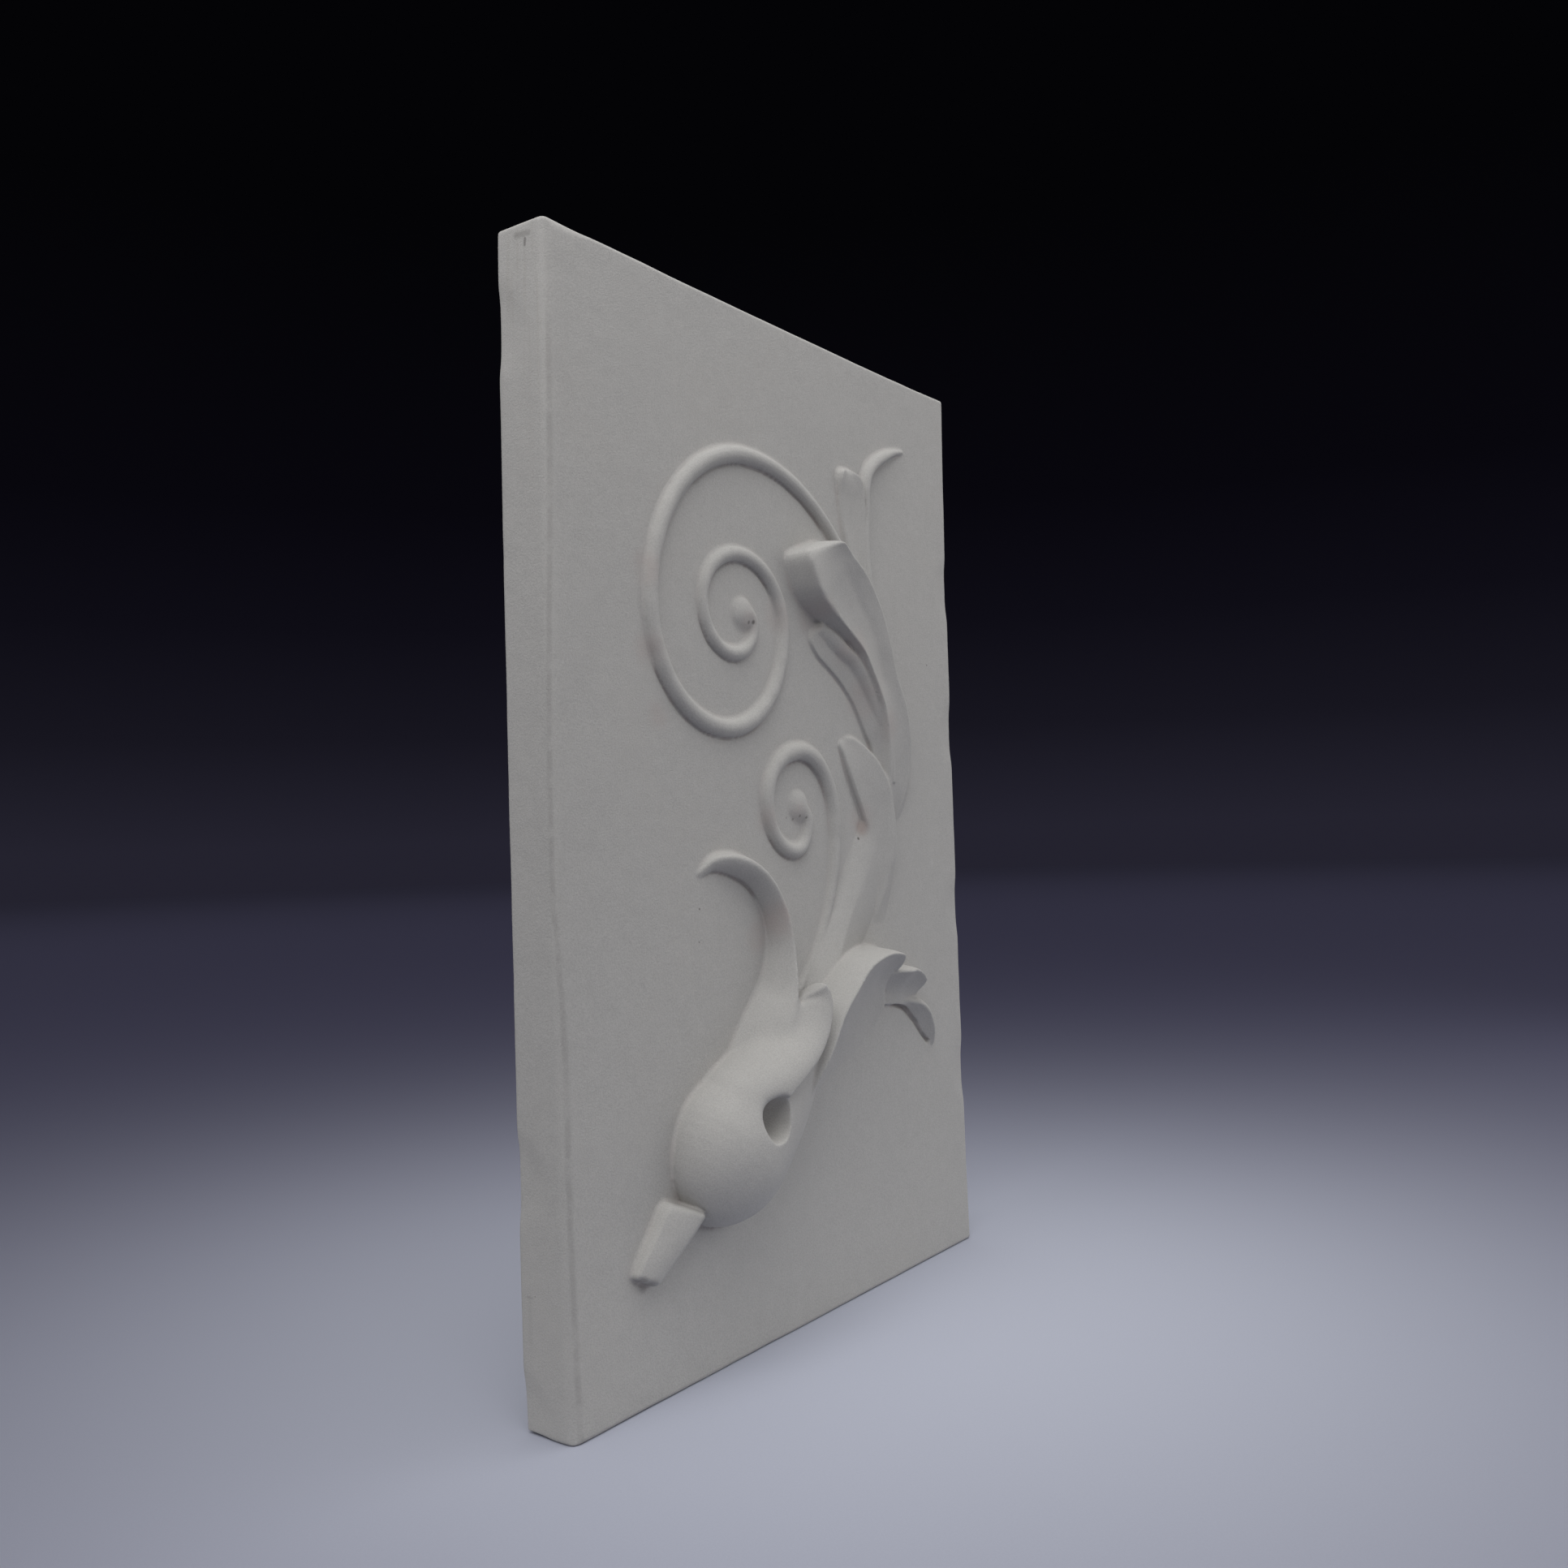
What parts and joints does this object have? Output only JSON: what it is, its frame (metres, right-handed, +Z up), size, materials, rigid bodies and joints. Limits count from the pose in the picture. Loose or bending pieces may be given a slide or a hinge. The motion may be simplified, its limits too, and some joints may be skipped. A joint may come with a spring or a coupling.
{
  "type": "plaster bas-relief",
  "caption": "Upright cast plaster panel with a scrolling flower stem raised on its face: a bell-shaped calyx, curling tendrils and folded leaves.",
  "frame": {"origin": "middle of the flat underside that the panel stands on", "axes": "+Z up the panel's height, +X along its width, -Y out of its carved face; the ornament's foot is at -X"},
  "size_m": [0.4014, 0.0708, 0.5999],
  "materials": {
    "casting_plaster": "matt off-white casting plaster, hand finished, with faint stains"
  },
  "bodies": {
    "root": {"plaster_relief": "casting_plaster"}
  },
  "joints": []
}
